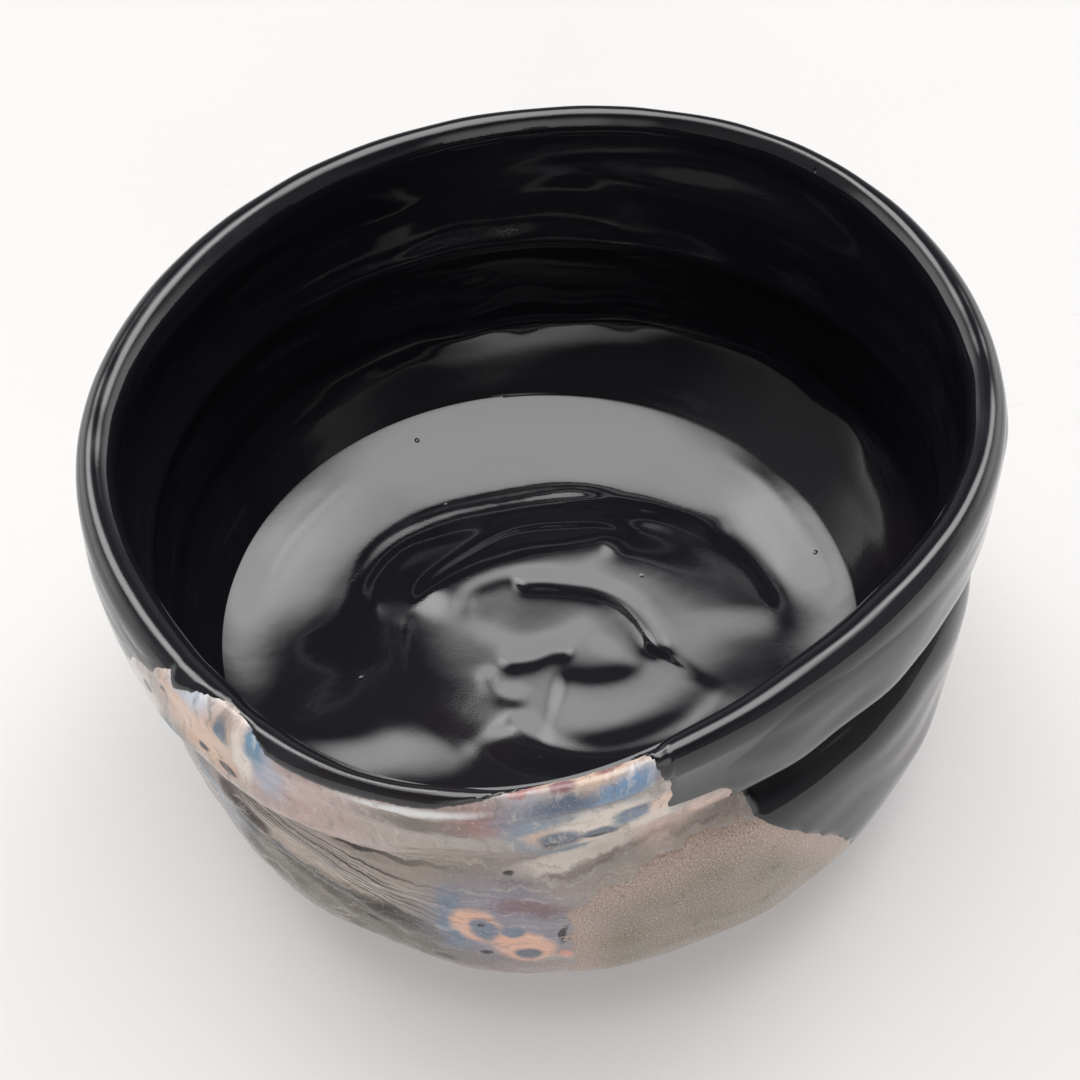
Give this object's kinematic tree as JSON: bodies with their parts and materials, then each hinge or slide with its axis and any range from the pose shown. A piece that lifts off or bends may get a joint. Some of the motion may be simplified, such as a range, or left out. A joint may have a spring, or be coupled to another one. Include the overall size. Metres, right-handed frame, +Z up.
{
  "type": "matcha bowl",
  "caption": "Hand-squeezed stoneware tea bowl with a waist groove, black glaze, a marbled glaze window at the front, a finger spiral in the floor and a low foot ring.",
  "frame": {"origin": "centre of the foot ring's resting face", "axes": "+Z up through the mouth; -Y towards the glaze window, which is the bowl's front; +X on the right of someone who looks at the front"},
  "size_m": [0.1251, 0.1264, 0.0684],
  "materials": {
    "stoneware": "bare fired clay, rough, with fine grog",
    "joining_slip": "smoothed slip, matt",
    "black_glaze": "glossy iron black with pinholes and faint streaks",
    "marbled_glaze": "glossy, marbled in pink, cream, blue-grey, olive and brown",
    "taupe_glaze": "satin gloss, finely speckled taupe"
  },
  "bodies": {
    "root": {"clay_body": "stoneware", "foot_ring": "stoneware", "foot_slip_seam": "joining_slip", "inner_black_glaze": "black_glaze", "outer_black_glaze": "black_glaze", "lip_black_glaze": "black_glaze", "window_marbled_glaze": "marbled_glaze", "window_taupe_glaze": "taupe_glaze"}
  },
  "joints": []
}
